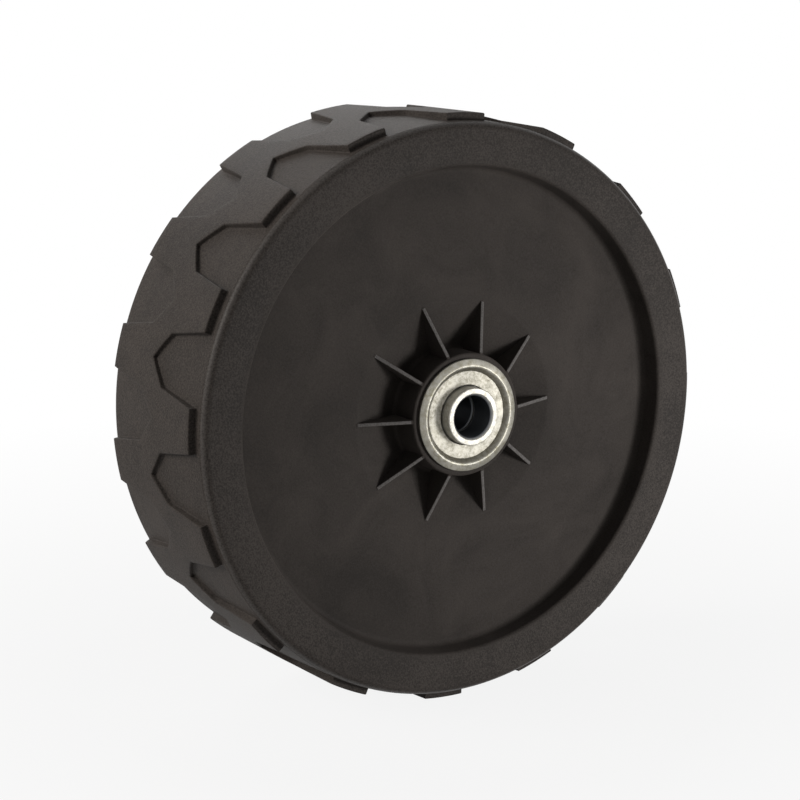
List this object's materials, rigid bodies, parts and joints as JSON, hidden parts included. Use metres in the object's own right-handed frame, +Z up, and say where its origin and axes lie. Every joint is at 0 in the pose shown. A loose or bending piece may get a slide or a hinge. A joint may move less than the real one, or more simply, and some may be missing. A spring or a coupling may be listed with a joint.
{
  "type": "wheel",
  "caption": "Black moulded plastic mower wheel with a lugged tread, a recessed disc, a ribbed hub and a flanged steel ball bearing at each end.",
  "frame": {"origin": "centre of the wheel, on its axle line, midway across the tread", "axes": "+Y along the axle towards the open, machine side; +Z up; the closed face looks along -Y"},
  "size_m": [0.1778, 0.0704, 0.1778],
  "materials": {
    "black_plastic": "grained moulded plastic",
    "zinc_steel": "zinc-plated steel",
    "ball_steel": "polished hardened steel"
  },
  "bodies": {
    "axle_set": {"spacer_sleeve": "zinc_steel", "front_inner_race": "zinc_steel", "rear_inner_race": "zinc_steel"},
    "wheel": {"wheel_body": "black_plastic", "front_outer_race": "zinc_steel", "front_outboard_shield": "zinc_steel", "front_inboard_shield": "zinc_steel", "rear_outer_race": "zinc_steel", "rear_outboard_shield": "zinc_steel", "rear_inboard_shield": "zinc_steel"},
    "front_ball_ring": {"front_balls": "ball_steel"},
    "rear_ball_ring": {"rear_balls": "ball_steel"}
  },
  "joints": [
    {"name": "wheel_spin", "type": "hinge", "parent": "axle_set", "child": "wheel", "pos_m": [0, 0, 0], "axis": [0, 1, 0], "continuous": true},
    {"name": "front_balls_roll", "type": "hinge", "parent": "axle_set", "child": "front_ball_ring", "pos_m": [0, 0, 0], "axis": [0, 1, 0], "continuous": true},
    {"name": "rear_balls_roll", "type": "hinge", "parent": "axle_set", "child": "rear_ball_ring", "pos_m": [0, 0, 0], "axis": [0, 1, 0], "continuous": true}
  ],
  "couplings": [
    {"joint": "front_balls_roll", "follows": "wheel_spin", "ratio": 0.61538},
    {"joint": "rear_balls_roll", "follows": "wheel_spin", "ratio": 0.61538}
  ]
}
